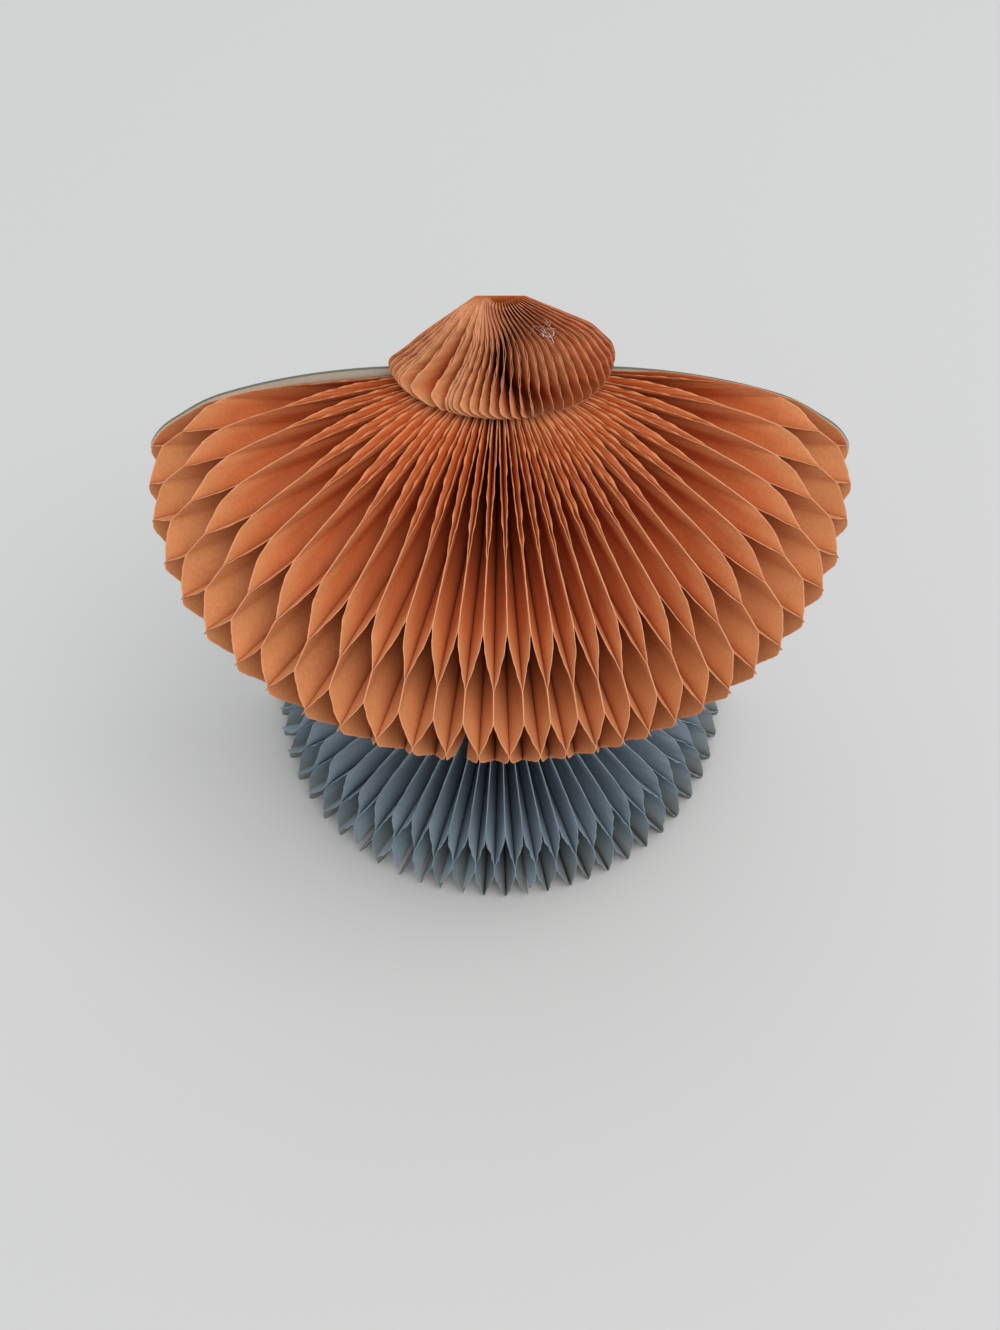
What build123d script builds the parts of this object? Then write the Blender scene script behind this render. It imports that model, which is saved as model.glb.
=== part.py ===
import os
from math import cos, hypot, pi, radians, sin, tan

from build123d import *

# Half-round honeycomb tissue decoration, open flat: an orange shade with a cap stands over a blue
# foot. Both pads are glued between two card covers, which alone join the tiers as a stem.
# It stands on Z = 0. The spine is the Z axis, the covers lie behind the XZ plane, the tissue faces -Y.

# Shade, the orange pad: radii at the covers and heights above the pad's own bottom edge
shade_bottom_radius = 88.5
shade_rim_radius = 96.0
shade_rim_height = 13.0
shade_haunch_radius = 90.8
shade_haunch_height = 21.6
shade_shoulder_radius = 77.0
shade_shoulder_height = 32.6
shade_crown_bulge = 3.2
neck_radius = 20.5
neck_height = 45.2
brim_radius = 26.5
brim_height = 49.0
cap_top_radius = 5.5
cap_top_height = 69.0

# How far the leaves reach in front, as a share of their reach at the covers: those of the cap are
# bent over by the crowd at the spine
cap_depth_share = 0.74
shade_depth_share = 0.985

# Foot, the blue pad: radii at the covers and heights above the table
foot_radius = 83.0
foot_shoulder_radius = 69.5
foot_shoulder_height = 23.0
foot_top_radius = 14.0
foot_depth_share = 0.98
foot_height = 37.5

# Bare stretch of the covers between the top of the foot and the bottom edge of the shade
tier_gap = 95.5

# Honeycomb: leaves fan round the spine and are glued along level stripes, to each side in turn
leaf_thickness = 0.2
leaf_gaps = 60
glue_pitch = 12.5
glue_width = 5.4
shade_stripe_offset = -0.1
foot_stripe_offset = 0.7
crease_clearance = 1.6

# How unevenly each pad has opened: the share by which the middle is closer, and where that middle is
shade_bunching = 0.32
shade_skew = -0.05
foot_bunching = 0.13
foot_skew = -0.03

# Glue joint that has come apart at the front of the shade's bottom edge
split_step = 35
split_width = 3.4
split_height = 7.0
split_depth = 18.0

# Card covers and the paper strip that hinges them along their backs
card_thickness = 0.8
card_margin = 0.8
card_shoulder_fillet = 40.0
card_haunch_fillet = 25.0
card_rim_fillet = 6.0
fold_gap = 0.6
stem_ledge = 1.0
stem_fillet = 12.0
strip_width = 18.0
strip_thickness = 0.15
strip_inset = 10.5

shade_base = foot_height + tier_gap
stem_half_width = foot_top_radius + stem_ledge
same_place = 0.01
shade_fan = (shade_bunching, shade_skew)
foot_fan = (foot_bunching, foot_skew)


def fan_azimuth(step, fan):
    """Azimuth of a leaf position in degrees: 0 at the right cover, 90 in front, 180 at the left."""
    bunching, skew = fan
    share = step / leaf_gaps
    wave = sin(2 * pi * (share - skew)) + sin(2 * pi * skew)
    return 180 * (share + bunching * wave / (2 * pi))


def facet(*corners):
    return Face(Wire.make_polygon(corners, close=True))


def flats(upper, lower):
    """The flats between two rings of a pad, each in two halves where the rings aren't alike."""
    (upper_ring, upper_share), (lower_ring, lower_share) = upper, lower
    found = []
    for i in range(leaf_gaps):
        corners = (upper_ring[i], upper_ring[i + 1], lower_ring[i + 1], lower_ring[i])
        if upper_share == lower_share:
            found.append(facet(*corners))
        else:
            found += [facet(*corners[:3]), facet(corners[2], corners[3], corners[0])]
    return found


def blank(profile, fan):
    """A pad before its cells are cut: the outline carried round the spine over half a turn, with
    one flat for each leaf gap. Seen from above each ring is half an oval, as deep as its share says."""
    rings = []
    for radius, height, depth_share in profile:
        ring = []
        for step in range(leaf_gaps + 1):
            turn = radians(-fan_azimuth(step, fan))
            reach = radius / hypot(cos(turn), sin(turn) / depth_share)
            ring.append((reach * cos(turn), reach * sin(turn), height))
        rings.append((ring, depth_share))
    front_to_back = [ring[0] for ring, _ in rings] + [ring[-1] for ring, _ in reversed(rings)]
    faces = [facet(*rings[0][0]), facet(*rings[-1][0]), facet(*front_to_back)]
    for upper, lower in zip(rings, rings[1:]):
        faces += flats(upper, lower)
    return Solid(Shell(faces))


def cell(step, stripe, fan, crease, reach):
    """The space of one honeycomb cell, centred on a leaf position and flat-sided.
    It is open between the two neighbouring leaf pairs over the height of a glue stripe, and its
    sides run together above and below it, up to the stripes where they are glued. Each side is
    creased once on its way out from the spine, unless the cell's reach ends there."""
    middle = fan_azimuth(step, fan)
    half_angles = {
        +1: radians(fan_azimuth(step + 1, fan) - middle),
        -1: radians(middle - fan_azimuth(step - 1, fan)),
    }
    apex = leaf_thickness / sin((half_angles[1] + half_angles[-1]) / 2)
    half_open = glue_width / 2
    half_cell = glue_pitch - glue_width / 2
    turn = radians(-middle)

    def corner(distance, side, height):
        across = 0
        if side and distance > apex:
            at_crease = crease * tan(half_angles[side]) - leaf_thickness / cos(half_angles[side])
            across = side * at_crease * (distance - apex) / (crease - apex)
        x = distance * cos(turn) + across * sin(turn)
        y = distance * sin(turn) - across * cos(turn)
        return (x, y, stripe + height)

    rings = [apex, crease, reach] if reach > crease else [apex, crease]
    low_seam = [corner(ring, 0, -half_cell) for ring in rings]
    high_seam = [corner(ring, 0, half_cell) for ring in rings]
    faces = []
    mouth = []
    for side in (+1, -1):
        low = [corner(ring, side, -half_open) for ring in rings]
        high = [corner(ring, side, half_open) for ring in rings]
        faces.append(facet(*low, *reversed(high)))
        for i in range(len(rings) - 1):
            faces.append(facet(low_seam[i], low_seam[i + 1], low[i + 1]))
            faces.append(facet(low_seam[i], low[i + 1], low[i]))
            faces.append(facet(high[i], high[i + 1], high_seam[i + 1]))
            if i > 0:
                faces.append(facet(high[i], high_seam[i + 1], high_seam[i]))
        mouth += [low[-1], high[-1], high_seam[-1]] if side > 0 else [high[-1], low[-1], low_seam[-1]]
    faces.append(facet(*mouth))
    return Solid(Shell(faces))


def cells(first_stripe, first_step, top, fan, neck, crease, reach):
    """All cells of a pad. Each row stands at a glue stripe, on every second leaf position, and the
    rows take turns. Rows that lie wholly above the neck reach only as far as the crease."""
    found = []
    rows = int((top - first_stripe) / glue_pitch) + 2
    for row in range(rows):
        stripe = first_stripe + row * glue_pitch
        row_reach = reach if stripe - glue_pitch < neck else crease
        start = (first_step + row) % 2
        found += [cell(step, stripe, fan, crease, row_reach) for step in range(start, leaf_gaps + 1, 2)]
    return found


# Cut outlines, from the top of the spine outwards and down to the bottom edge. The shade's crown is
# bowed: the covers follow its arc, and the leaves are cut straight to the arc's middle and on from it.
shade_neck = (neck_radius, shade_base + neck_height)
shade_shoulder = (shade_shoulder_radius, shade_base + shade_shoulder_height)
shade_cap = [
    (cap_top_radius, shade_base + cap_top_height),
    (brim_radius, shade_base + brim_height),
    shade_neck,
]
shade_skirt = [
    shade_shoulder,
    (shade_haunch_radius, shade_base + shade_haunch_height),
    (shade_rim_radius, shade_base + shade_rim_height),
    (shade_bottom_radius, shade_base),
]
crown_middle = SagittaArc(shade_neck, shade_shoulder, shade_crown_bulge) @ 0.5
shade_crown = (crown_middle.X, crown_middle.Y)
foot_outline = [
    (foot_top_radius, foot_height),
    (foot_shoulder_radius, foot_shoulder_height),
    (foot_radius, 0),
]
crease = brim_radius + crease_clearance

# Orange honeycomb of the shade, with its end leaves flat against the covers
with BuildPart() as orange_honeycomb:
    cap_profile = [(*corner, cap_depth_share) for corner in shade_cap]
    skirt_profile = [(*corner, shade_depth_share) for corner in (shade_crown, *shade_skirt)]
    add(blank(cap_profile + skirt_profile, shade_fan))
    shade_cells = cells(
        shade_base + shade_stripe_offset,
        0,
        shade_base + cap_top_height,
        shade_fan,
        shade_base + neck_height,
        crease,
        shade_rim_radius + crease_clearance,
    )
    add(shade_cells, mode=Mode.SUBTRACT)
    with BuildSketch(Plane.XZ):
        with BuildLine():
            Polyline(
                (0, shade_base + cap_top_height),
                *shade_cap,
                shade_crown,
                *shade_skirt,
                (0, shade_base),
                close=True,
            )
        make_face()
        mirror(about=Plane.YZ)
    extrude(amount=leaf_thickness)
    split_turn = -fan_azimuth(split_step, shade_fan)
    split_plane = Plane(
        origin=(0, 0, shade_base),
        x_dir=Vector(0, 1, 0).rotate(Axis.Z, split_turn),
        z_dir=Vector(1, 0, 0).rotate(Axis.Z, split_turn),
    )
    with BuildSketch(split_plane.offset(shade_rim_radius - split_depth)):
        Polygon((-split_width / 2, 0), (split_width / 2, 0), (0, split_height), align=None)
    extrude(amount=split_depth, mode=Mode.SUBTRACT)
orange_honeycomb.part.label = "orange_honeycomb"

# Blue honeycomb of the foot
with BuildPart() as blue_honeycomb:
    add(blank([(*corner, foot_depth_share) for corner in foot_outline], foot_fan))
    foot_cells = cells(
        foot_stripe_offset,
        1,
        foot_height,
        foot_fan,
        foot_height,
        crease,
        foot_radius + crease_clearance,
    )
    add(foot_cells, mode=Mode.SUBTRACT)
    with BuildSketch(Plane.XZ):
        with BuildLine():
            Polyline((0, foot_height), *foot_outline, (0, 0), close=True)
        make_face()
        mirror(about=Plane.YZ)
    extrude(amount=leaf_thickness)
blue_honeycomb.part.label = "blue_honeycomb"

# Card covers: both tiers' outlines with a margin, and the stem between them
with BuildPart() as right_cover:
    with BuildSketch(Plane.XZ) as cover_shape:
        with BuildLine():
            Polyline((0, shade_base), (0, shade_base + cap_top_height), *shade_cap)
            SagittaArc(shade_neck, shade_shoulder, shade_crown_bulge)
            Polyline(*shade_skirt, (0, shade_base))
        make_face()
        for radius, rounding in (
            (shade_shoulder_radius, card_shoulder_fillet),
            (shade_haunch_radius, card_haunch_fillet),
            (shade_rim_radius, card_rim_fillet),
        ):
            corner = vertices().filter_by_position(Axis.X, radius - same_place, radius + same_place)
            fillet(corner, rounding)
        with BuildLine():
            Polyline((0, foot_height), *foot_outline, (0, 0), close=True)
        make_face()
        offset(amount=card_margin)
        with Locations((0, foot_height / 2)):
            Rectangle(stem_half_width, shade_base, align=(Align.MIN, Align.MIN))
        stem_side = vertices().filter_by_position(
            Axis.X, stem_half_width - same_place, stem_half_width + same_place
        )
        fillet(stem_side, stem_fillet)
        Rectangle(4 * foot_radius, shade_base, align=(Align.CENTER, Align.MAX), mode=Mode.SUBTRACT)
        with Locations((fold_gap / 2, 0)):
            Rectangle(foot_radius, 4 * shade_base, align=(Align.MAX, Align.CENTER), mode=Mode.SUBTRACT)
    extrude(amount=-card_thickness)
right_cover.part.label = "right_cover"

with BuildPart() as left_cover:
    mirror(right_cover.part, about=Plane.YZ)
left_cover.part.label = "left_cover"

# Paper strip glued over the fold, on the backs of both covers
with BuildPart() as hinge_strip:
    with BuildSketch(Plane.XZ.offset(-card_thickness)):
        with Locations((0, strip_inset)):
            Rectangle(
                strip_width,
                shade_base + cap_top_height - 2 * strip_inset,
                align=(Align.CENTER, Align.MIN),
            )
    extrude(amount=-strip_thickness)
hinge_strip.part.label = "hinge_strip"

os.makedirs("parts", exist_ok=True)
for piece in (orange_honeycomb, blue_honeycomb, right_cover, left_cover, hinge_strip):
    export_step(piece.part, f"parts/{piece.part.label}.step")
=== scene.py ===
"""Half-round tissue honeycomb decoration: an orange shade over a blue foot, between two card covers.

Every tissue leaf is a thin closed sheet, worked out as a whole array: a point of it is given by its
place along the cut outline and its place between the spine and that outline. All lengths are metres,
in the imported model's own frame: the spine is the Z axis and the tissue faces -Y.
"""
import math

import bpy
import numpy as np
from bpy.props import FloatProperty, FloatVectorProperty, IntProperty, PointerProperty
from bpy.types import Operator, Panel, PropertyGroup
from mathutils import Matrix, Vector


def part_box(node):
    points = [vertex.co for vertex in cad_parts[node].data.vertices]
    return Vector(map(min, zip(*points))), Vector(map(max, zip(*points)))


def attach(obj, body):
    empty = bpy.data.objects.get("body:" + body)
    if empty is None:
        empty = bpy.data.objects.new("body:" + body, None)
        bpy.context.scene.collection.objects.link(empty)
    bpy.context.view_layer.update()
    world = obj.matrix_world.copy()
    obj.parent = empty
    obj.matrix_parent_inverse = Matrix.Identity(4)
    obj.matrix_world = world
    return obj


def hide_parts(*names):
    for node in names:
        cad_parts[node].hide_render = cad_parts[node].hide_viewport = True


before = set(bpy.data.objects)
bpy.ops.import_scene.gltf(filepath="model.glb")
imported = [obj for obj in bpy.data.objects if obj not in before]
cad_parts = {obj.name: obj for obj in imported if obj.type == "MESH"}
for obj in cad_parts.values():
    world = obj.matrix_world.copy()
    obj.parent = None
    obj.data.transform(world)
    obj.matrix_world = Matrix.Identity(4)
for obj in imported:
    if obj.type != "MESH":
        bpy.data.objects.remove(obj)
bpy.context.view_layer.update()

bl_info = {
    "name": "Tissue Honeycomb Decoration",
    "version": (1, 0, 0),
    "blender": (4, 5, 0),
    "location": "3D View > Sidebar > Honeycomb",
    "description": "Fans out tissue honeycomb pads between die-cut card covers",
    "category": "Add Mesh",
}

SHADE_LOW, SHADE_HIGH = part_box("orange_honeycomb")
FOOT_LOW, FOOT_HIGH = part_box("blue_honeycomb")

# Cut outline of the orange leaves from the top down. Each corner holds the share of the pad's radius,
# the share of its height, the reach in front as a share of the reach at the covers, and how much
# further it reaches at the right cover, again as a share of the pad's radius.
SHADE_OUTLINE = (
    (0.058, 1.012, 0.30, 0.000),
    (0.160, 0.880, 0.45, 0.070),
    (0.232, 0.785, 0.60, 0.055),
    (0.293, 0.724, 0.64, 0.008),
    (0.292, 0.692, 0.64, 0.002),
    (0.262, 0.668, 0.66, 0.008),
    (0.214, 0.655, 0.68, 0.006),
    (0.302, 0.652, 0.78, 0.006),
    (0.409, 0.636, 0.88, 0.006),
    (0.515, 0.609, 0.95, 0.006),
    (0.671, 0.548, 0.985, 0.008),
    (0.802, 0.4725, 0.985, 0.008),
    (0.886, 0.386, 0.985, 0.004),
    (0.946, 0.313, 0.985, 0.002),
    (0.977, 0.255, 0.985, 0.000),
    (1.000, 0.188, 0.985, 0.000),
    (0.964, 0.100, 0.985, 0.000),
    (0.930, 0.016, 0.985, 0.000),
    (0.915, 0.004, 0.985, 0.000),
    (0.880, 0.000, 0.985, 0.000),
)
# Share of the shade's height at which its neck is narrowest
NECK_SHARE = 0.655
# Cut outline of the blue leaves, in the same terms
FOOT_OUTLINE = (
    (0.169, 1.0, 0.98, 0.0),
    (0.36, 0.93, 0.98, 0.0),
    (0.56, 0.83, 0.98, 0.0),
    (0.72, 0.73, 0.98, 0.0),
    (0.837, 0.61, 0.98, 0.0),
    (0.92, 0.33, 0.98, 0.0),
    (0.978, 0.08, 0.98, 0.0),
    (0.965, 0.02, 0.98, 0.0),
    (0.93, 0.0, 0.98, 0.0),
)

# How the orange leaves lie. Heights are counted from the pad's bottom edge.
SHADE_LEAVES = {
    # stripes glue the odd and the even fan positions in turn: 0 if the lowest one glues the odd ones,
    # and 1 if it glues the even ones
    "first_step": 0,
    # drawn heights of leaf joints, and the heights in the even lattice that they stand for
    "joint_shift": ((-0.01, 0.0026, 0.0143, 0.0151, 0.1), (-0.01, 0.0026, 0.0096, 0.0151, 0.1)),
    # share of a leaf's straight crossing between two stripes that is eased in and out
    "easing": 0.05,
    # how unevenly the stripes hold the leaves, in fan positions
    "uneven": 0.05,
    # length over which the outline's corners are rounded
    "rounding": 0.003,
    # unevenness of the cut, as a share of its reach
    "ragged": 0.0015,
    # bow between the stripes, as a share of the room up to the next leaf
    "bow": 0.03,
    # sideways wave of the cut edges in the skirt, and how much more of it the crown has
    "flutter": 0.0001,
    "crown_wave": 1.0,
    # glue joint that has come apart at the front of the hem: its leaf, and the height it reaches
    "split_step": 35,
    "split_top": 0.0135,
    # height over which the glued pairs part again at the hem, and how far they part
    "hem": 0.0027,
    "hem_parting": 0.3,
    # height from which the leaves lie as they do in the cap, and the number of the brim's stripe
    "cap_from": 0.0455,
    "brim_stripe": 4,
    # share by which the cap's leaves keep the side that they have at the brim, and their bunching
    "cap_still": 0.8,
    "cap_bunching": 0.15,
    # wave of the cap's cut edges, their curl to the left, and the rise of its top
    "cap_flutter": 0.00022,
    "cap_curl": 0.0025,
    "cap_peaks": 0.0015,
    # swing of the cap's leaves away from the puffed one
    "puff": math.radians(20),
    # rise of the first leaves on the right, and sag of the last ones on the left
    "right_rise": 0.0012,
    "left_sag": 0.0022,
}
# How the blue leaves lie, in the same terms: this pad has no cap and no open joint
FOOT_LEAVES = {
    "first_step": 1,
    # height over which a glued pair stays together at its stripe
    "glue_width": 0.0034,
    "joint_shift": ((-0.01, 0.0257, 0.05), (-0.01, 0.0257, 0.0259)),
    "easing": 0.2,
    "uneven": 0.08,
    "rounding": 0.004,
    "ragged": 0.002,
    "bow": 0.12,
    "flutter": 0.0003,
    "crown_wave": 0.0,
    "split_step": -1,
    "split_top": 0.0,
    "hem": 0.0024,
    "hem_parting": 0.15,
    # far above the pad
    "cap_from": 1.0,
    "brim_stripe": 0,
    "cap_still": 0.0,
    "cap_bunching": 0.0,
    "cap_flutter": 0.0,
    "cap_curl": 0.0,
    "cap_peaks": 0.0,
    "puff": 0.0,
    "right_rise": 0.0,
    "left_sag": 0.0,
}
# Leaves of the foot whose hem is torn off, counted from the right cover, the least and greatest height
# that is gone, and the height over which the tear runs out upwards
TORN_LEAVES = (27, 33, 35, 38, 40, 41, 44, 45, 47, 49, 51, 53, 55, 57)
TORN_HEIGHTS = (0.007, 0.0092)
TORN_FADE = 0.0096

# Numbers of the glue stripes that can cross a pad, from the one below its bottom edge
STRIPES = np.arange(-1, 8)
# Heights above the start of the cap within which its leaves' lie, reach and rise are fully its own
CAP_LIE_RISE = 0.005
CAP_REACH_RISE = 0.004
CAP_PEAK_RISE = 0.008
# Heights above the pad's bottom edge between which the skirt turns into the crown
CROWN_HEIGHTS = (0.030, 0.042)
# Azimuth of the cap's puffed leaf, and the angle over which the leaves beside it make room
PUFF_AZIMUTH = math.radians(133)
PUFF_WIDTH = math.radians(12)
# Leaves beside the covers on the crown: the heights over which they begin to rise or sag, how many
# leaves it takes for that to fade on the right and on the left, and the radii at which it sets in on
# each side and ends on the left
LIFT_HEIGHTS = (0.02, 0.04)
RIGHT_LEAVES = 1.2
LEFT_LEAVES = 2.0
RIGHT_RADII = (0.028, 0.045)
LEFT_RADII = (0.018, 0.03)
LEFT_END_RADII = (0.045, 0.08)
# Fine points of the outline for each row of a leaf, before its corners are rounded
FINE_POINTS = 12
# Lengths of the waves along the cut outline: uneven cut, bow and flutter, and the curl in the cap
RAGGED_WAVES = (0.004, 0.011, 0.002)
BOW_WAVES = (0.021, 0.034)
FLUTTER_WAVES = (0.0075, 0.0043)
CURL_WAVE = 0.019
# Depths behind the cut edge at which the valleys' softness has grown and the flutter has faded
VALLEY_DEPTH = 0.006
FLUTTER_DEPTH = 0.0025
# Radius at which the leaves start beside the spine, and how much their columns crowd to the cut edge
SPINE_RADIUS = 0.0008
EDGE_CROWDING = 3.2
# Share of their thickness that the leaves have near the spine, the radii between which it grows to
# the whole, and the greatest share of the room between two leaves that one may fill
THIN_SHARE = 0.45
THIN_RADII = (0.025, 0.06)
FILLED_SHARE = 0.9
# How far the grain moves on from one leaf to the next, so that no two leaves look alike
GRAIN_STEP = 0.013
# Folds sharper than this are drawn as crisp creases
CREASE_ANGLE = math.radians(50)

# Tuft of loose fibres on the cap: its middle and spread, and how many fibres it has, the rings of a
# fibre with the step between them, and its radius
TUFT_MIDDLE = (0.0105, -0.0042, 0.1975)
TUFT_SPREAD = (0.0006, 0.0008, 0.0011)
TUFT_FIBRES = 20
FIBRE_RINGS = 14
FIBRE_STEP = 0.0003
FIBRE_RADIUS = 0.0001


class HoneycombSettings(PropertyGroup):
    """How a pad of tissue is glued and how thick its leaves are drawn."""

    leaf_gaps: IntProperty(
        name="Leaf positions", description="Steps of the fan from cover to cover", default=60, min=8
    )
    glue_pitch: FloatProperty(
        name="Glue pitch", description="Height from one glue stripe to the next, on the other side",
        default=0.0125, unit="LENGTH",
    )
    glue_width: FloatProperty(
        name="Glue width", description="Height of a glue stripe", default=0.0054, unit="LENGTH"
    )
    leaf_thickness: FloatProperty(
        name="Leaf thickness", description="Drawn thickness of one leaf", default=0.00014,
        unit="LENGTH",
    )
    spine_half_width: FloatProperty(
        name="Half width of the spine", description="How far the glued spine reaches to each side",
        default=0.0042, unit="LENGTH",
    )
    seed: IntProperty(name="Seed", description="Seed of the creases and uneven cells", default=11)


class ShadeSettings(PropertyGroup):
    """The orange pad, and the fibres that cling to its cap."""

    bunching: FloatProperty(
        name="Bunching", description="Share by which the cells in front are narrower", default=0.32
    )
    skew: FloatProperty(
        name="Skew", description="How far the narrowest cells lie to the right of the front, in turns",
        default=-0.05,
    )
    first_stripe: FloatProperty(
        name="First stripe", description="Height of the lowest glue stripe above the pad's bottom",
        default=-0.0001, unit="LENGTH",
    )
    body: FloatVectorProperty(
        name="Tissue", description="Colour of the tissue", subtype="COLOR", size=3,
        default=(0.62, 0.25, 0.098),
    )
    # painted shade: the darker, deeper colour laid where shade falls between and under the leaves
    shaded_tissue: FloatVectorProperty(
        name="Inner tissue", description="Colour of the tissue that light has not faded",
        subtype="COLOR", size=3, default=(0.50, 0.092, 0.02),
    )
    edge: FloatVectorProperty(
        name="Cut edge", description="Colour of the cut edges", subtype="COLOR", size=3,
        default=(0.74, 0.33, 0.18),
    )
    fibre: FloatVectorProperty(
        name="Loose fibres", description="Colour of the fibres on the cap", subtype="COLOR", size=3,
        default=(0.74, 0.7, 0.64),
    )


class FootSettings(PropertyGroup):
    """The blue pad."""

    bunching: FloatProperty(
        name="Bunching", description="Share by which the cells in front are narrower", default=0.13
    )
    skew: FloatProperty(
        name="Skew", description="How far the narrowest cells lie to the right of the front, in turns",
        default=-0.03,
    )
    first_stripe: FloatProperty(
        name="First stripe", description="Height of the lowest glue stripe above the table",
        default=0.0007, unit="LENGTH",
    )
    body: FloatVectorProperty(
        name="Tissue", description="Colour of the tissue", subtype="COLOR", size=3,
        default=(0.245, 0.305, 0.355),
    )
    faded: FloatVectorProperty(
        name="Faded hem", description="Colour of the faded lowest band", subtype="COLOR", size=3,
        default=(0.23, 0.24, 0.205),
    )
    edge: FloatVectorProperty(
        name="Cut edge", description="Colour of the cut edges", subtype="COLOR", size=3,
        default=(0.26, 0.31, 0.35),
    )


class CoverSettings(PropertyGroup):
    """The card covers and their hinge strip."""

    card: FloatVectorProperty(
        name="Card", description="Colour of the card", subtype="COLOR", size=3,
        default=(0.62, 0.56, 0.44),
    )
    card_edge: FloatVectorProperty(
        name="Card edge", description="Colour of the card's cut edge", subtype="COLOR", size=3,
        default=(0.13, 0.135, 0.1),
    )
    strip: FloatVectorProperty(
        name="Hinge strip", description="Colour of the paper strip", subtype="COLOR", size=3,
        default=(0.42, 0.34, 0.23),
    )


class StageSettings(PropertyGroup):
    """Floor, light and camera."""

    floor: FloatVectorProperty(
        name="Floor", description="Colour of the floor", subtype="COLOR", size=3,
        default=(0.57, 0.57, 0.562),
    )
    camera_distance: FloatProperty(
        name="Camera distance", description="Level distance from the spine to the camera",
        default=0.2235, unit="LENGTH",
    )
    camera_height: FloatProperty(
        name="Camera height", description="Height of the camera above the table",
        default=0.431, unit="LENGTH",
    )
    camera_pitch: FloatProperty(
        name="Camera pitch", description="How far the camera looks down from level",
        default=math.radians(61.3), subtype="ANGLE",
    )
    camera_lens: FloatProperty(name="Lens", description="Focal length in millimetres", default=35.19)


def fan_azimuth(step, gaps, bunching, skew):
    """Azimuth of a fan position, from 0 at the right cover to pi at the left one.
    It is the even spacing plus a sine wave, which draws the positions in front together."""
    share = step / gaps
    wave = np.sin(2 * np.pi * (share - skew)) + math.sin(2 * math.pi * skew)
    return np.pi * (share + bunching * wave / (2 * np.pi))


def ramp_between(value, start, end):
    """Smooth step from 0 at start to 1 at end."""
    share = np.clip((value - start) / (end - start), 0, 1)
    return share * share * (3 - 2 * share)


def waves(count, place, lengths, rng):
    """Mean of sine waves along place, one for each length, from -1 to 1. Each of count leaves has
    phases of its own, and its waves are shorter or longer by up to about a third."""
    total = 0
    for length in lengths:
        phase = rng.uniform(0, 2 * np.pi, (count,) + (1,) * place.ndim)
        stretch = rng.uniform(0.75, 1.35, phase.shape)
        total = total + np.sin(2 * np.pi * place[None] * stretch / length + phase)
    return total / len(lengths)


def smooth_outline(corners, radius, height, base, rows, rounding, kinks):
    """Cut outline as (row, 4) radii, heights, depth shares and extra radii, with the sine of its slope
    and the length along it.
    The corners are joined by straight lines, averaged over the rounding length and divided into rows
    of equal length. Then each kink height takes the row nearest to it, so that creases stay crisp."""
    points = np.array(corners) * (radius, height, 1, radius) + (0, base, 0, 0)
    run = np.concatenate(([0], np.cumsum(np.hypot(*np.diff(points[:, :2], axis=0).T))))
    fine = np.linspace(0, run[-1], rows * FINE_POINTS)
    line = np.stack([np.interp(fine, run, column) for column in points.T], axis=1)
    window = max(1, int(rounding / (fine[1] - fine[0])))
    kernel = np.ones(window) / window
    padded = np.pad(line, ((window, window), (0, 0)), mode="edge")
    line = np.stack([np.convolve(column, kernel, "same") for column in padded.T], axis=1)
    line = line[window:-window]
    run = np.concatenate(([0], np.cumsum(np.hypot(*np.diff(line[:, :2], axis=0).T))))
    along = np.linspace(0, run[-1], rows)
    kinks = kinks[(kinks > line[-1, 1]) & (kinks < line[0, 1])]
    kink_run = np.interp(kinks, line[::-1, 1], run[::-1])
    nearest = np.clip(np.rint(kink_run / run[-1] * (rows - 1)).astype(int), 1, rows - 2)
    along[nearest] = kink_run
    line = np.stack([np.interp(along, run, column) for column in line.T], axis=1)
    slope = np.gradient(line[:, :2], axis=0)
    steep = np.abs(slope[:, 1]) / np.maximum(np.hypot(*slope.T), 1e-9)
    return line, steep, along


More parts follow.
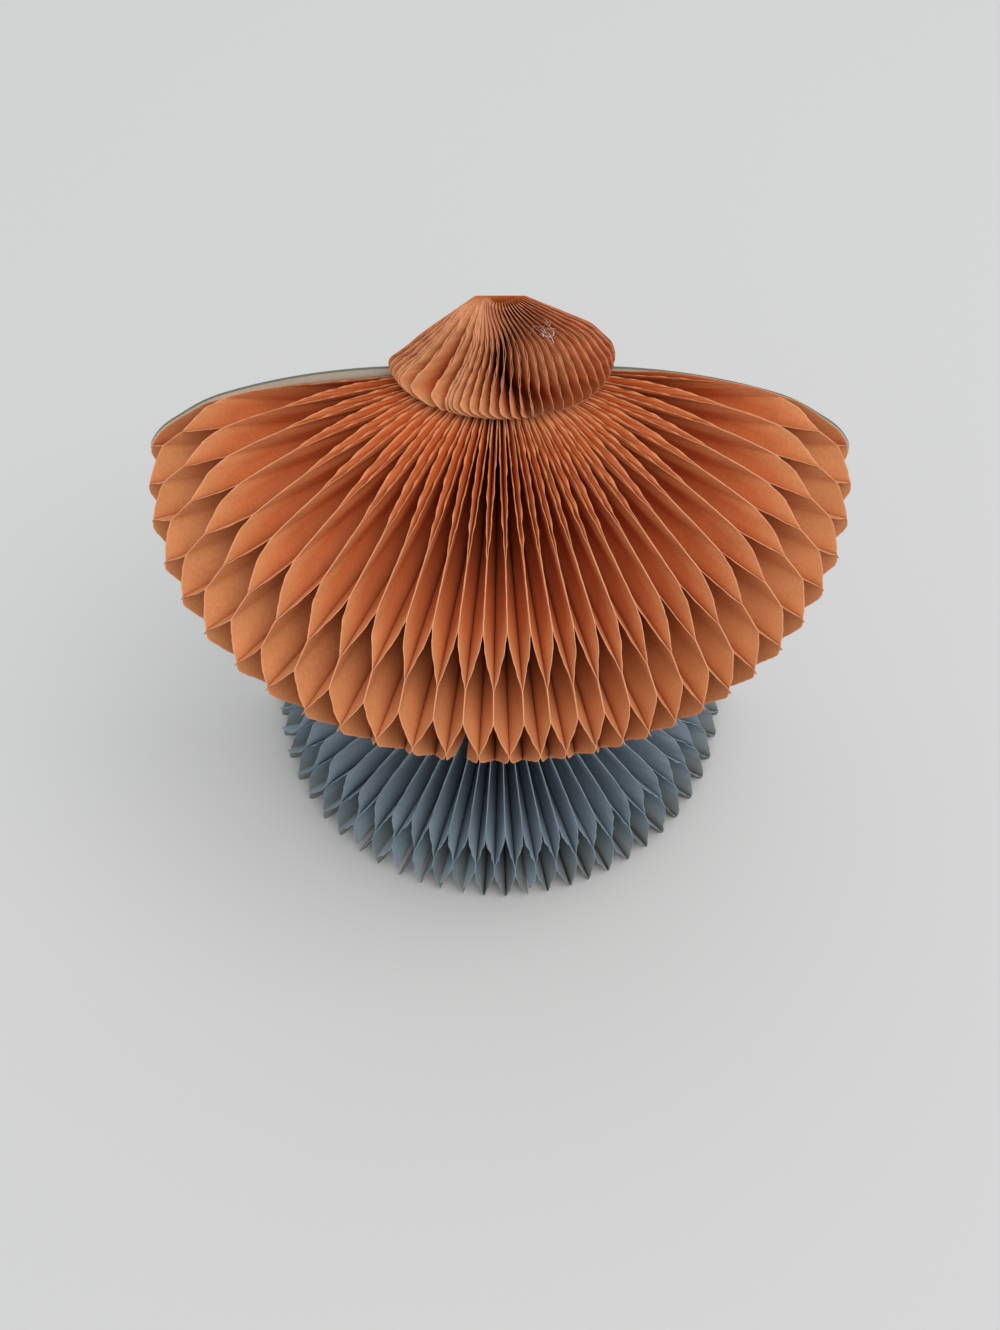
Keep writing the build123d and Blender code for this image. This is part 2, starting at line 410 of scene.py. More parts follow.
def leaf_sides(leaf, height, pad, glue, rng):
    """Azimuth and glued side of each leaf at each height, and how much further round it would lie if
    it crossed over softly, all as (leaf, row) arrays.
    Leaf j lies between the fan positions j and j + 1. At a glue stripe it lies on one of the two, and
    at the next stripe on the other; in between it crosses over along a straight ramp. The joint shift
    first turns the drawn heights into those of the even stripes. Where a joint has come apart, its
    leaf stays as the stripe above holds it. In the cap the leaves hardly cross: they stay near the
    side that they have at the brim. At the hem the glued pairs part again, each leaf to its own place."""
    reach = (np.interp(height, *pad["joint_shift"]) - pad["first_stripe"]) / glue.glue_pitch
    below = np.floor(reach).astype(int)
    flat = pad["glue_width"] / glue.glue_pitch
    ramp = np.clip((reach - below - flat / 2) / (1 - flat), 0, 1)
    soft = ramp_between(ramp, 0, 1)
    ramp = (1 - pad["easing"]) * ramp + pad["easing"] * soft
    stripes = below.max() - below.min() + 3
    uneven = rng.normal(0, pad["uneven"], (stripes, glue.leaf_gaps + 1))
    uneven[:, [0, -1]] = 0
    in_cap = ramp_between(height, pad["cap_from"], pad["cap_from"] + CAP_LIE_RISE)
    bunching = pad["bunching"] + (pad["cap_bunching"] - pad["bunching"]) * in_cap
    azimuths = []
    sides = []
    for stripe in (below[None, :], below[None, :] + 1):
        glued_on_odd = (pad["first_step"] + stripe) % 2 == 0
        goes_up = (leaf[:, None] % 2 == 0) == glued_on_odd
        position = leaf[:, None] + goes_up
        place = position + uneven[stripe - below.min(), position]
        azimuths.append(fan_azimuth(place, glue.leaf_gaps, bunching, pad["skew"]))
        sides.append(np.where(goes_up, 1.0, -1.0))
    ramp = np.broadcast_to(ramp, azimuths[0].shape).copy()
    unglued = (leaf[:, None] == pad["split_step"]) & (height < pad["split_top"])
    ramp[unglued] = 1.0
    azimuth = azimuths[0] + (azimuths[1] - azimuths[0]) * ramp
    side = sides[0] + (sides[1] - sides[0]) * ramp
    softer = (azimuths[1] - azimuths[0]) * (soft - ramp) * (1 - in_cap)

    # in the cap each leaf keeps close to its side at the brim
    brim_side = (leaf % 2 == 0) == ((pad["first_step"] + pad["brim_stripe"]) % 2 == 0)
    home = fan_azimuth((leaf + brim_side)[:, None], glue.leaf_gaps, bunching, pad["skew"])
    still = pad["cap_still"] * in_cap
    azimuth = azimuth + (home - azimuth) * still
    side = side + (np.where(brim_side, 1.0, -1.0)[:, None] - side) * still

    # at the hem each leaf turns to its own place, by a quarter of a sine wave down to the cut
    own = fan_azimuth((leaf + 0.5)[:, None], glue.leaf_gaps, bunching, pad["skew"])
    below_hem = np.clip((height[-1] + pad["hem"] - height) / pad["hem"], 0, 1)
    parted = pad["hem_parting"] * np.sin(0.5 * np.pi * below_hem)
    azimuth = azimuth + (own - azimuth) * parted
    return azimuth, side * (1 - parted), softer


def puff_shift(azimuth):
    """Shift of the cap's leaves away from one puffed leaf on the left, as a share of its strength:
    the angle from it, as a share of the puff's width, times the bell curve of that share. It stretches
    the fan about that leaf and squeezes it on both sides."""
    away = (azimuth - PUFF_AZIMUTH) / PUFF_WIDTH
    return away * np.exp(-away * away)


def right_share(azimuth):
    """Share of the further reach on the right: 1 at the right cover, less with the cosine of the
    azimuth, to the power of 1.5, and 0 from a little left of the front."""
    return np.clip((np.cos(azimuth) + 0.3) / 1.3, 0, 1) ** 1.5


def end_lift(pad, count, radius, above):
    """Rise of the leaves beside the covers along the crown: the first ones on the right are pushed up
    over the card's edge, and the last ones on the left have sunk behind it. Both fade exponentially
    from leaf to leaf, and smooth steps of height and radius keep them to the crown."""
    from_right = np.arange(count)[:, None, None]
    from_left = from_right[::-1]
    top = ramp_between(above, *LIFT_HEIGHTS)
    right = np.exp(-from_right / RIGHT_LEAVES) * ramp_between(radius, *RIGHT_RADII)
    left = np.exp(-from_left / LEFT_LEAVES) * ramp_between(radius, *LEFT_RADII)
    left = left * (1 - ramp_between(radius, *LEFT_END_RADII))
    return top * (pad["right_rise"] * right - pad["left_sag"] * left)


def leaf_sheets(corners, low, high, pad, glue, rows, columns):
    """Points of all leaves as (leaf, row, ring, 3), with their depth behind the cut edge and their
    place on the leaf. A row is level and runs from the spine to the outline. Its ring goes out along
    the leaf's front and back along its rear, so that each leaf is a closed thin sheet."""
    rng = np.random.default_rng(glue.seed + pad["first_step"])
    gaps = glue.leaf_gaps
    base = low.z
    raised = {key: base + pad[key] for key in ("first_stripe", "cap_from", "split_top")}
    pad = {**pad, **raised, "joint_shift": base + np.array(pad["joint_shift"])}
    stripes = pad["first_stripe"] + glue.glue_pitch * STRIPES
    stripe_ends = (stripes - pad["glue_width"] / 2, stripes + pad["glue_width"] / 2)
    kinks = np.concatenate([*stripe_ends, pad["joint_shift"][0]])
    outline, steep, along = smooth_outline(
        corners, high.x, high.z - base, base, rows, pad["rounding"], kinks
    )
    level = outline[:, 1]
    azimuth, side, softer = leaf_sides(np.arange(gaps), level, pad, glue, rng)

    # the two end leaves lie flat on the covers, and all others are loose
    flat = np.zeros((1, rows))
    azimuth = np.concatenate([flat, azimuth, flat + np.pi])
    side = np.concatenate([flat, side, flat])[..., None]
    softer = np.concatenate([flat, softer, flat])[..., None]
    count = gaps + 2
    loose = np.ones((count, 1, 1))
    loose[[0, -1]] = 0
    spread = glue.spine_half_width * np.linspace(1, -1, count)[:, None, None] * loose

    # angle between neighbouring leaves
    step = np.gradient(fan_azimuth(np.arange(gaps + 1.0), gaps, pad["bunching"], pad["skew"]))
    step = np.concatenate([step[:1], 0.5 * (step[1:] + step[:-1]), step[-1:]])[:, None, None]

    # reach of the cut edge: half an oval seen from above, further out towards the right cover
    in_cap = ramp_between(level, pad["cap_from"], pad["cap_from"] + CAP_REACH_RISE)[None, :, None]
    azimuth = azimuth + pad["puff"] * in_cap[..., 0] * puff_shift(azimuth)
    ragged = 1 + pad["ragged"] * waves(count, along, RAGGED_WAVES, rng)
    reach = (outline[None, :, 0] + right_share(azimuth) * outline[None, :, 3]) * ragged
    rim_x = reach * np.cos(azimuth)
    rim_y = reach * outline[None, :, 2] * np.sin(azimuth)
    rim = np.hypot(rim_x, rim_y)[..., None]
    turn = np.arctan2(rim_y, rim_x)[..., None]
    azimuth = azimuth[..., None]

    # level distance of each column from the spine: the columns crowd towards the cut edge
    inner = np.full((count, 1, 1), SPINE_RADIUS)
    inner[[0, -1]] = 0
    share = np.expm1(EDGE_CROWDING * np.linspace(1, 0, columns)) / math.expm1(EDGE_CROWDING)
    radius = rim - (rim - inner) * share
    depth = (rim - radius) * steep[None, :, None]
    height = np.broadcast_to(level[None, :, None], radius.shape)
    near_spine = 1 - radius / rim
    spacing = radius * step + 2 * glue.spine_half_width / count * near_spine
    drawn = glue.leaf_thickness * (THIN_SHARE + (1 - THIN_SHARE) * ramp_between(radius, *THIN_RADII))
    thickness = np.minimum(drawn, FILLED_SHARE * spacing)
    across = -side * thickness * 0.5

    # leaves bow between the stripes, and their valleys are soft away from the cut edge
    open_share = 1 - np.abs(side) ** 3
    bow = waves(count, along, BOW_WAVES, rng)[..., None]
    across = across + loose * bow * open_share * pad["bow"] * radius * step
    across = across + loose * softer * radius * (1 - np.exp(-depth / VALLEY_DEPTH))

    # cut edges flutter, 0.3 times as much where they are glued, and at most by 0.55 of the way to the
    # next leaf
    flutter = waves(count, along, FLUTTER_WAVES, rng)[..., None]
    near_edge = np.exp(-depth / FLUTTER_DEPTH)
    crown = ramp_between(level, *(base + np.array(CROWN_HEIGHTS)))[None, :, None]
    skirt_room = (0.3 + 0.7 * open_share) * pad["flutter"] * (1 + pad["crown_wave"] * crown)
    room = skirt_room * (1 - in_cap) + pad["cap_flutter"] * in_cap
    across = across + loose * flutter * near_edge * np.minimum(room, 0.55 * radius * step)

    # in the cap they curl to the left, most in front, and from 0.2 to 1 times in a wave over its height
    swing = 0.6 + 0.4 * np.sin(2 * np.pi * (level - pad["cap_from"]) / CURL_WAVE)[None, :, None]
    across = across + loose * in_cap * pad["cap_curl"] * np.abs(np.sin(azimuth)) * swing * near_edge

    # the cap's top rises, most beside the covers; torn hems end higher; end leaves rise or sag
    peaks = pad["cap_peaks"] * (0.6 + 0.4 * np.abs(np.cos(azimuth)) ** 4)
    risen = ramp_between(height, pad["cap_from"], pad["cap_from"] + CAP_PEAK_RISE)
    height = height + peaks * in_cap * risen
    torn = np.concatenate([[0], pad["torn"], [0]])[:, None, None]
    height = height + torn * np.exp(-(height - base) / TORN_FADE)
    height = height + end_lift(pad, count, radius, height - base)

    # the leaves start from a spine that is spread a little to both sides
    ringed = []
    for face in (+0.5, -0.5):
        offset = across + face * thickness
        x = radius * np.cos(turn) - offset * np.sin(turn) + spread * near_spine
        y = -radius * np.sin(turn) - offset * np.cos(turn)
        ringed.append(np.stack([x, np.minimum(y, 0), height], axis=-1))
    front, rear = ringed
    for leaf, sheet in ((0, front), (count - 1, rear)):
        sheet[leaf, :, :, 1] = -thickness[leaf]
    points = np.concatenate([front, rear[:, :, ::-1]], axis=2)
    depth = np.concatenate([depth, depth[:, :, ::-1]], axis=2)
    leaf_number = np.broadcast_to(np.arange(count)[:, None, None], radius.shape)
    place = np.stack([radius, height, GRAIN_STEP * leaf_number], axis=-1)
    place = np.concatenate([place, place[:, :, ::-1]], axis=2)
    return points, depth, place


def tube_faces(count, rings, corners):
    """Quads of count tubes, each of rings of corners that are joined one to the next, without ends."""
    tube = np.arange(count)[:, None, None] * rings * corners
    ring = np.arange(rings - 1)[None, :, None] * corners
    corner = np.arange(corners)[None, None, :]
    after = (corner + 1) % corners
    quad = (tube + ring + corner, tube + ring + after, tube + ring + corners + after)
    quad = (*quad, tube + ring + corners + corner)
    return np.stack(np.broadcast_arrays(*quad), axis=-1).reshape(-1, 4)


def sheet_faces(count, rows, ring):
    """Quads of count closed sheets: tubes whose two ends are closed across."""
    half = np.arange(ring // 2 - 1)[None, :]
    start = np.arange(count)[:, None] * rows * ring
    ends = []
    for row_start, flip in ((0, False), ((rows - 1) * ring, True)):
        base = start + row_start
        quad = [base + half, base + ring - 1 - half, base + ring - 2 - half, base + half + 1]
        quad = quad[::-1] if flip else quad
        ends.append(np.stack(np.broadcast_arrays(*quad), axis=-1).reshape(-1, 4))
    return np.concatenate([tube_faces(count, rows, ring), *ends])


def fibre_tuft(rng):
    """Points of the curled fibres as (fibre, ring, corner, 3). Each fibre is a triangular tube along a
    path of equal steps from a scattered start. A step's heading is the sine, axis by axis, of angles
    that drift at random from ring to ring, made one long. The radius follows half a sine wave."""
    start = np.array(TUFT_MIDDLE) + rng.normal(0, 1, (TUFT_FIBRES, 3)) * TUFT_SPREAD
    turning = np.cumsum(rng.normal(0, 0.5, (TUFT_FIBRES, FIBRE_RINGS, 3)), axis=1)
    heading = np.sin(turning + rng.uniform(0, 6, (TUFT_FIBRES, 1, 3)))
    heading = heading / np.linalg.norm(heading, axis=2, keepdims=True)
    path = start[:, None] + np.cumsum(heading * FIBRE_STEP, axis=1)
    corner = np.arange(3) * 2 * np.pi / 3
    ring = np.stack([np.cos(corner), 0 * corner, np.sin(corner)], axis=-1)
    taper = np.sin(np.linspace(0.15, 2.99, FIBRE_RINGS))[None, :, None, None]
    return path[:, :, None] + FIBRE_RADIUS * taper * ring


def mesh_object(name, points, faces, attributes=()):
    """New object at the origin from (n, 3) points and (m, 4) faces, with point attributes."""
    mesh = bpy.data.meshes.new(name)
    mesh.vertices.add(len(points))
    mesh.vertices.foreach_set("co", np.ascontiguousarray(points, dtype=np.float32).ravel())
    mesh.loops.add(faces.size)
    mesh.loops.foreach_set("vertex_index", np.ascontiguousarray(faces, dtype=np.int32).ravel())
    mesh.polygons.add(len(faces))
    starts = np.arange(0, faces.size, faces.shape[1], dtype=np.int32)
    mesh.polygons.foreach_set("loop_start", starts)
    mesh.update(calc_edges=True)
    mesh.polygons.foreach_set("use_smooth", np.ones(len(faces), dtype=bool))
    for label, kind, values in attributes:
        layer = mesh.attributes.new(label, kind, "POINT")
        field = "value" if kind == "FLOAT" else "vector"
        layer.data.foreach_set(field, np.ascontiguousarray(values, dtype=np.float32).ravel())
    mesh.validate()
    piece = bpy.data.objects.new(name, mesh)
    bpy.context.scene.collection.objects.link(piece)
    return piece


def leaf_pieces(name, parts, node, sheets, material):
    """Pieces of a pad's leaves, from the right to the left, which together replace its solid."""
    points, depth, place = sheets
    count, rows, ring = points.shape[:3]
    limits = np.linspace(0, count, len(parts) + 1).astype(int)
    for part, start, stop in zip(parts, limits, limits[1:]):
        piece = mesh_object(
            f"{name}_{part}",
            points[start:stop].reshape(-1, 3),
            sheet_faces(stop - start, rows, ring),
            (
                ("edge_depth", "FLOAT", depth[start:stop].reshape(-1)),
                ("leaf_place", "FLOAT_VECTOR", place[start:stop].reshape(-1, 3)),
            ),
        )
        piece.data.set_sharp_from_angle(angle=CREASE_ANGLE)
        piece.data.materials.append(material)
        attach(piece, "root")
        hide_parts(node)


def new_material(name):
    """New node material, with its node tree and its Principled shader."""
    material = bpy.data.materials.new(name)
    material.use_nodes = True
    tree = material.node_tree
    return material, tree, tree.nodes["Principled BSDF"]


def add_node(tree, kind, inputs=None, **settings):
    """Node of a kind with its settings; inputs maps socket names or numbers to values or links."""
    node = tree.nodes.new(kind)
    for key, value in settings.items():
        setattr(node, key, value)
    for key, value in (inputs or {}).items():
        socket = node.inputs[key]
        if isinstance(value, bpy.types.NodeSocket):
            tree.links.new(value, socket)
        else:
            socket.default_value = value
    return node


def combine(tree, operation, *values):
    """Result of a Math node on its values, each a socket or a number."""
    return add_node(tree, "ShaderNodeMath", dict(enumerate(values)), operation=operation).outputs[0]


def mix_colour(tree, factor, first, second, blend="MIX"):
    """Mix of two colours, each a socket or a plain colour."""
    node = add_node(tree, "ShaderNodeMix", data_type="RGBA", blend_type=blend)
    for index, value in ((0, factor), (6, first), (7, second)):
        if isinstance(value, bpy.types.NodeSocket):
            tree.links.new(value, node.inputs[index])
        else:
            node.inputs[index].default_value = value if index == 0 else (*value[:3], 1)
    return node.outputs[2]


def ease(tree, value, start, end, low=0.0, high=1.0):
    """Value from low to high while the input goes from start to end."""
    node = add_node(
        tree, "ShaderNodeMapRange", {0: value, 1: start, 2: end, 3: low, 4: high}, clamp=True
    )
    return node.outputs[0]


def paper_grain_group():
    """Shared grain of the papers: fine fibres and broad blotches about 1, and a height for bump."""
    name = "Paper grain"
    if name in bpy.data.node_groups:
        return bpy.data.node_groups[name]
    group = bpy.data.node_groups.new(name, "ShaderNodeTree")
    group.interface.new_socket("Place", in_out="INPUT", socket_type="NodeSocketVector")
    for label, value in (("Fibre Scale", 1800.0), ("Blotch Scale", 90.0), ("Contrast", 0.2)):
        socket = group.interface.new_socket(label, in_out="INPUT", socket_type="NodeSocketFloat")
        socket.default_value = value
    group.interface.new_socket("Shade", in_out="OUTPUT", socket_type="NodeSocketFloat")
    group.interface.new_socket("Height", in_out="OUTPUT", socket_type="NodeSocketFloat")
    start = group.nodes.new("NodeGroupInput")
    end = group.nodes.new("NodeGroupOutput")
    fibre = add_node(
        group, "ShaderNodeTexNoise",
        {"Vector": start.outputs["Place"], "Scale": start.outputs["Fibre Scale"], "Detail": 3.0},
    )
    blotch = add_node(
        group, "ShaderNodeTexNoise",
        {"Vector": start.outputs["Place"], "Scale": start.outputs["Blotch Scale"], "Detail": 4.0},
    )
    both = combine(group, "ADD", fibre.outputs[0], blotch.outputs[0])
    centred = combine(group, "ADD", both, -1.0)
    scaled = combine(group, "MULTIPLY_ADD", centred, start.outputs["Contrast"], 1.0)
    group.links.new(scaled, end.inputs["Shade"])
    group.links.new(fibre.outputs[0], end.inputs["Height"])
    return group


def grain(tree, place, fibre, blotch, contrast):
    """Paper grain placed in a material's tree."""
    node = tree.nodes.new("ShaderNodeGroup")
    node.node_tree = paper_grain_group()
    tree.links.new(place, node.inputs["Place"])
    node.inputs["Fibre Scale"].default_value = fibre
    node.inputs["Blotch Scale"].default_value = blotch
    node.inputs["Contrast"].default_value = contrast
    return node


def paper_finish(tree, shader, colour, mottle, roughness, bump):
    """Matte paper: a colour times the grain's shade, an even roughness and a fine bump."""
    shade = mottle.outputs["Shade"]
    grey = add_node(tree, "ShaderNodeCombineColor", {0: shade, 1: shade, 2: shade})
    mottled = mix_colour(tree, 1.0, colour, grey.outputs[0], "MULTIPLY")
    tree.links.new(mottled, shader.inputs["Base Color"])
    shader.inputs["Roughness"].default_value = roughness
    shader.inputs["Specular IOR Level"].default_value = 0.2
    bumped = add_node(
        tree, "ShaderNodeBump",
        {"Strength": bump, "Distance": 0.0002, "Height": mottle.outputs["Height"]},
    )
    tree.links.new(bumped.outputs[0], shader.inputs["Normal"])


def leaf_fields(tree):
    """Depth behind the cut edge and place on the leaf, which the leaves carry as attributes. The place
    is the distance from the spine, the height, and the leaf's number times the grain step."""
    depth = add_node(tree, "ShaderNodeAttribute", attribute_name="edge_depth")
    place = add_node(tree, "ShaderNodeAttribute", attribute_name="leaf_place")
    return depth.outputs["Fac"], place.outputs["Vector"]


def orange_tissue_material(settings):
    """Dyed tissue, pale on the cut itself, with painted shade in its deeper colour: the further behind
    the cut edge, the more of it, in the cells between the leaves; round the neck, under the brim; and on
    the right of the cap. At the hem painted light takes most of it away, as if light came through from
    below."""
    material, tree, shader = new_material("orange_tissue")
    depth, place = leaf_fields(tree)
    mottle = grain(tree, place, 1500.0, 120.0, 0.35)
    radius, height, number = add_node(tree, "ShaderNodeSeparateXYZ", {0: place}).outputs
    low = SHADE_LOW.z
    neck = low + NECK_SHARE * (SHADE_HIGH.z - low)
    # painted shade round the neck, where the brim overhangs it
    under_brim = ease(tree, height, neck + 0.0015, neck - 0.001)
    near_neck = ease(tree, radius, 0.080, 0.028)
    brim_shade = combine(tree, "MULTIPLY", near_neck, under_brim)
    # painted light at the hem: the cells' painted shade is almost left out there, as if light came
    # through the tissue from below
    above_hem = ease(tree, height, low + 0.022, low + 0.038, 0.05, 1.0)
    # painted shade in the cells: darker the further the surface lies behind the cut edge
    behind_cut = ease(tree, depth, 0.0003, 0.0055)
    cell_shade = combine(tree, "MULTIPLY", behind_cut, above_hem)
    # painted shade on the right of the cap, above the brim
    over_brim = ease(tree, height, neck - 0.001, neck + 0.0015)
    # from about the 26th leaf to the 10th, counted from the right cover
    right_leaves = ease(tree, number, 0.34, 0.13, 0.0, 0.75)
    right_cap_shade = combine(tree, "MULTIPLY", right_leaves, over_brim)
    # all the painted shade together: the tissue takes the shaded colour wherever any of it falls
    painted_shade = combine(tree, "MAXIMUM", combine(tree, "MAXIMUM", cell_shade, brim_shade), right_cap_shade)
    colour = mix_colour(tree, painted_shade, settings.body, settings.shaded_tissue)
    cut = ease(tree, depth, 0.0004, 0.0001, 0.0, 0.8)
    # within the painted shade under the brim the pale cut is toned down to the body colour
    cut_colour = mix_colour(tree, brim_shade, settings.edge, settings.body)
    colour = mix_colour(tree, cut, colour, cut_colour)
    paper_finish(tree, shader, colour, mottle, 0.85, 0.25)
    return material


def blue_tissue_material(settings):
    """Dyed tissue: slate blue, faded to grey olive near the table, with a little paler cut."""
    material, tree, shader = new_material("blue_tissue")
    depth, place = leaf_fields(tree)
    height = add_node(tree, "ShaderNodeSeparateXYZ", {0: place}).outputs[1]
    mottle = grain(tree, place, 1500.0, 120.0, 0.3)
    near_table = ease(tree, height, 0.012, 0.002)
    colour = mix_colour(tree, near_table, settings.body, settings.faded)
    cut = ease(tree, depth, 0.0005, 0.0001, 0.0, 0.8)
    colour = mix_colour(tree, cut, colour, settings.edge)
    paper_finish(tree, shader, colour, mottle, 0.85, 0.25)
    return material


def card_material(settings):
    """Aged card: cream faces with faint stains, and a dark cut edge."""
    material, tree, shader = new_material("cover_card")
    place = add_node(tree, "ShaderNodeTexCoord").outputs["Object"]
    facing = add_node(tree, "ShaderNodeNewGeometry").outputs["Normal"]
    facing_y = add_node(tree, "ShaderNodeSeparateXYZ", {0: facing}).outputs[1]
    on_face = ease(tree, combine(tree, "ABSOLUTE", facing_y), 0.4, 0.7)
    mottle = grain(tree, place, 900.0, 45.0, 0.22)
    colour = mix_colour(tree, on_face, settings.card_edge, settings.card)
    paper_finish(tree, shader, colour, mottle, 0.7, 0.3)
    return material


def strip_material(settings):
    """Plain brown gummed paper."""
    material, tree, shader = new_material("strip_paper")
    place = add_node(tree, "ShaderNodeTexCoord").outputs["Object"]
    paper_finish(tree, shader, settings.strip, grain(tree, place, 1100.0, 60.0, 0.3), 0.6, 0.3)
    return material


def fibre_material(settings):
    """White fibre with a faint grain."""
    material, tree, shader = new_material("white_fibre")
    place = add_node(tree, "ShaderNodeTexCoord").outputs["Object"]
    paper_finish(tree, shader, settings.fibre, grain(tree, place, 900.0, 300.0, 0.1), 0.8, 0.1)
    return material


class HONEYCOMB_OT_shade_leaves(Operator):
    """Fan out the orange leaves of the shade and its cap"""

    bl_idname = "honeycomb.shade_leaves"
    bl_label = "Shade Leaves"

    def execute(self, context):
        shade = context.scene.honeycomb_shade
        glue = context.scene.honeycomb_glue
        pad = {
            **SHADE_LEAVES,
            "bunching": shade.bunching,
            "skew": shade.skew,
            "first_stripe": shade.first_stripe,
            "glue_width": glue.glue_width,
            "torn": np.zeros(glue.leaf_gaps),
        }
        sheets = leaf_sheets(SHADE_OUTLINE, SHADE_LOW, SHADE_HIGH, pad, glue, rows=150, columns=14)
        thirds = ("right", "front", "left")
        material = orange_tissue_material(shade)
        leaf_pieces("orange_leaves", thirds, "orange_honeycomb", sheets, material)
        return {"FINISHED"}


class HONEYCOMB_OT_fibres(Operator):
    """Lay the tuft of loose white fibres that clings to the cap"""

    bl_idname = "honeycomb.fibres"
    bl_label = "Loose Fibres"

    def execute(self, context):
        points = fibre_tuft(np.random.default_rng(context.scene.honeycomb_glue.seed))
        piece = mesh_object("loose_fibres", points.reshape(-1, 3), tube_faces(*points.shape[:3]))
        piece.data.materials.append(fibre_material(context.scene.honeycomb_shade))
        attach(piece, "root")
        return {"FINISHED"}


class HONEYCOMB_OT_foot_leaves(Operator):
    """Fan out the blue leaves of the foot"""

    bl_idname = "honeycomb.foot_leaves"
    bl_label = "Foot Leaves"

    def execute(self, context):
        foot = context.scene.honeycomb_foot
        glue = context.scene.honeycomb_glue
        rng = np.random.default_rng(glue.seed)
        leaves = [leaf for leaf in TORN_LEAVES if leaf < glue.leaf_gaps]
        torn = np.zeros(glue.leaf_gaps)
        torn[leaves] = rng.uniform(*TORN_HEIGHTS, len(leaves))
        pad = {
            **FOOT_LEAVES,
            "bunching": foot.bunching,
            "skew": foot.skew,
            "first_stripe": foot.first_stripe,
            "torn": torn,
        }
        sheets = leaf_sheets(FOOT_OUTLINE, FOOT_LOW, FOOT_HIGH, pad, glue, rows=84, columns=10)
        halves = ("right", "left")
        material = blue_tissue_material(foot)
        leaf_pieces("blue_leaves", halves, "blue_honeycomb", sheets, material)
        return {"FINISHED"}


class HONEYCOMB_OT_covers(Operator):
    """Finish the card covers and the paper strip behind their fold"""

    bl_idname = "honeycomb.covers"
    bl_label = "Card Covers"

    def execute(self, context):
        settings = context.scene.honeycomb_covers
        card = card_material(settings)
        finishes = {"right_cover": card, "left_cover": card, "hinge_strip": strip_material(settings)}
        for name, material in finishes.items():
            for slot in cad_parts[name].material_slots:
                slot.material = material
        return {"FINISHED"}


def aim(thing, target):
    """Turn a lamp so that it points at a place."""
    direction = Vector(target) - thing.location
    thing.rotation_euler = direction.to_track_quat("-Z", "Y").to_euler()


class HONEYCOMB_OT_stage(Operator):
    """Set up the plain floor, the soft light and the camera"""

    bl_idname = "honeycomb.stage"
    bl_label = "Stage"

    def execute(self, context):
        settings = context.scene.honeycomb_stage
        scene = context.scene
        half_width = 3.0
        corners = np.array([(-1, -1, 0), (1, -1, 0), (1, 1, 0), (-1, 1, 0)]) * half_width
        floor = mesh_object("floor", corners, np.array([(0, 1, 2, 3)]))
        material, _, shader = new_material("floor_cloth")
        shader.inputs["Base Color"].default_value = (*settings.floor, 1)
        shader.inputs["Roughness"].default_value = 0.95
        shader.inputs["Specular IOR Level"].default_value = 0.1
        floor.data.materials.append(material)

        world = bpy.data.worlds.new("soft_daylight")
        world.use_nodes = True
        sky = world.node_tree.nodes["Background"]
        sky.inputs["Color"].default_value = (0.95, 0.97, 1.0, 1)
        sky.inputs["Strength"].default_value = 0.92
        scene.world = world
        lamp = bpy.data.lights.new("window", "AREA")
        lamp.shape = "DISK"
        lamp.size = 1.8
        lamp.energy = 22.5
        lamp.color = (1.0, 0.98, 0.95)
        window = bpy.data.objects.new("window", lamp)
        window.location = (0.85, -0.5, 2.25)
        scene.collection.objects.link(window)
        aim(window, (0, -0.04, 0.1))

        lens = bpy.data.cameras.new("camera")
        lens.lens = settings.camera_lens
        lens.sensor_width = 36.0
        lens.clip_start = 0.01
        camera = bpy.data.objects.new("camera", lens)
        camera.location = (0, -settings.camera_distance, settings.camera_height)
        camera.rotation_euler = (math.pi / 2 - settings.camera_pitch, 0, 0)
        scene.collection.objects.link(camera)
        scene.camera = camera
        scene.view_settings.view_transform = "Standard"
        return {"FINISHED"}


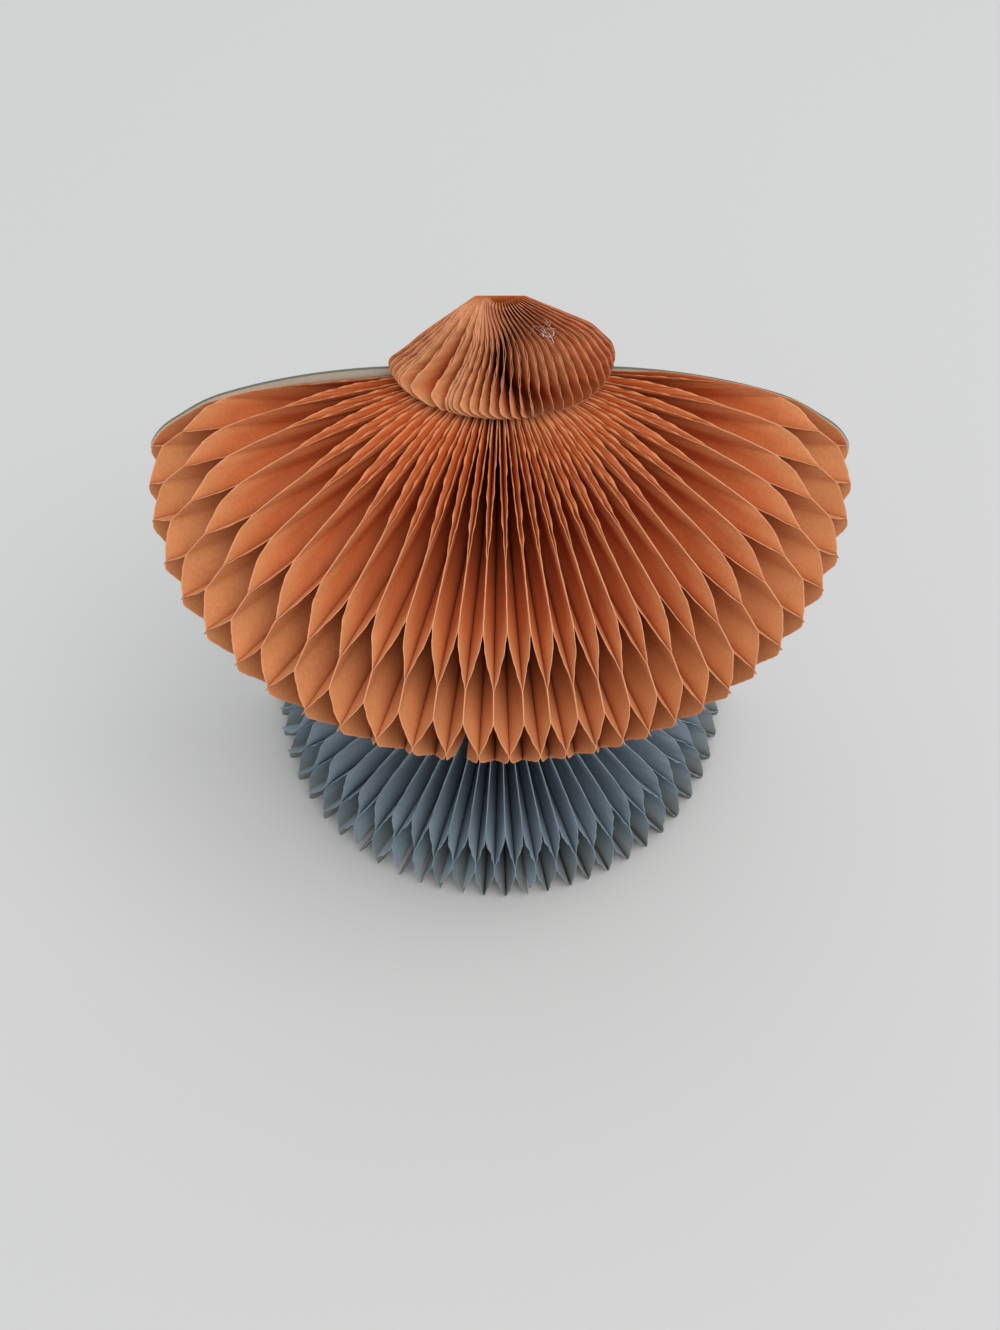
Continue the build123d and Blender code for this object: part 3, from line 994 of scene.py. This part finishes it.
class HONEYCOMB_PT_sidebar(Panel):
    """Sizes and colours of the decoration, and a button for each group of pieces"""

    bl_idname = "HONEYCOMB_PT_sidebar"
    bl_label = "Tissue Honeycomb"
    bl_space_type = "VIEW_3D"
    bl_region_type = "UI"
    bl_category = "Honeycomb"

    def draw(self, context):
        groups = (
            ("honeycomb_glue", ()),
            ("honeycomb_shade", (HONEYCOMB_OT_shade_leaves, HONEYCOMB_OT_fibres)),
            ("honeycomb_foot", (HONEYCOMB_OT_foot_leaves,)),
            ("honeycomb_covers", (HONEYCOMB_OT_covers,)),
            ("honeycomb_stage", (HONEYCOMB_OT_stage,)),
        )
        for label, operators in groups:
            box = self.layout.box()
            settings = getattr(context.scene, label)
            for key in settings.__annotations__:
                box.prop(settings, key)
            for operator in operators:
                box.operator(operator.bl_idname)


SETTINGS = {
    "honeycomb_glue": HoneycombSettings,
    "honeycomb_shade": ShadeSettings,
    "honeycomb_foot": FootSettings,
    "honeycomb_covers": CoverSettings,
    "honeycomb_stage": StageSettings,
}
OPERATORS = (
    HONEYCOMB_OT_shade_leaves,
    HONEYCOMB_OT_foot_leaves,
    HONEYCOMB_OT_fibres,
    HONEYCOMB_OT_covers,
    HONEYCOMB_OT_stage,
)


def register():
    for settings in SETTINGS.values():
        bpy.utils.register_class(settings)
    for operator in OPERATORS:
        bpy.utils.register_class(operator)
    bpy.utils.register_class(HONEYCOMB_PT_sidebar)
    for label, settings in SETTINGS.items():
        setattr(bpy.types.Scene, label, PointerProperty(type=settings))


def unregister():
    for label in SETTINGS:
        delattr(bpy.types.Scene, label)
    bpy.utils.unregister_class(HONEYCOMB_PT_sidebar)
    for operator in OPERATORS:
        bpy.utils.unregister_class(operator)
    for settings in SETTINGS.values():
        bpy.utils.unregister_class(settings)


def main():
    """Make every piece and the stage."""
    register()
    bpy.ops.honeycomb.stage()
    bpy.ops.honeycomb.covers()
    bpy.ops.honeycomb.foot_leaves()
    bpy.ops.honeycomb.shade_leaves()
    bpy.ops.honeycomb.fibres()


if __name__ == "__main__":
    main()
